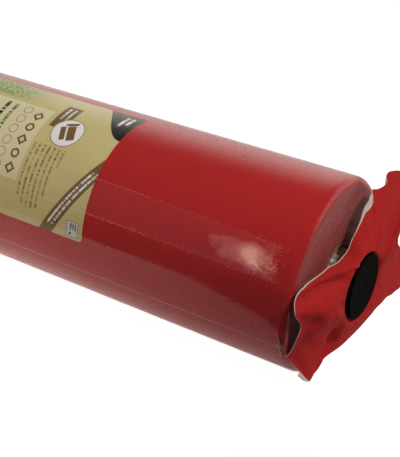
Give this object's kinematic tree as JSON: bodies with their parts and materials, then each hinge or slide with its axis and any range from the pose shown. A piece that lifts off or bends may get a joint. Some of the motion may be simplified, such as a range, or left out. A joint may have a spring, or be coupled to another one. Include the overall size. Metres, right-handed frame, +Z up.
{
  "type": "wrapped roll of tissue table covering",
  "caption": "Shrink-wrapped roll of embossed tissue table covering on a paperboard core, with a paper label and a cloth sample held in the core's mouth by a plug.",
  "frame": {"origin": "middle of the roll's axis, halfway along the wound width and inside the core's bore", "axes": "+X along the roll's axis towards the sample and plug, +Z up, and -Y faces the side with the printed label"},
  "size_m": [1.1994, 0.1306, 0.127],
  "materials": {
    "kraft_board": "matt spiral-wound paperboard",
    "red_tissue": "soft matt tissue with a fine diagonal emboss",
    "white_tissue": "undyed soft matt tissue",
    "label_paper": "satin printed paper",
    "shrink_film": "clear glossy shrink film",
    "amber_glue": "glossy hot-melt glue",
    "clear_tape": "satin double-sided tape",
    "black_plastic": "fine matt moulded plastic"
  },
  "bodies": {
    "roll": {"core_inner_ply": "kraft_board", "core_body_ply": "kraft_board", "core_outer_ply": "kraft_board", "start_tape": "clear_tape", "wound_web": "red_tissue", "tail_glue_bead": "amber_glue", "paper_label": "label_paper", "film_sleeve": "shrink_film", "film_seam": "shrink_film"},
    "sample": {"sample_face_ply": "red_tissue", "sample_inner_plies": "white_tissue", "sample_back_ply": "white_tissue"},
    "plug": {"core_plug": "black_plastic"}
  },
  "joints": [
    {"name": "sample_pull", "type": "slide", "parent": "roll", "child": "sample", "axis": [1, 0, 0], "range_m": [0, 0.04]},
    {"name": "plug_pull", "type": "slide", "parent": "sample", "child": "plug", "axis": [1, 0, 0], "range_m": [0, 0.06]}
  ]
}
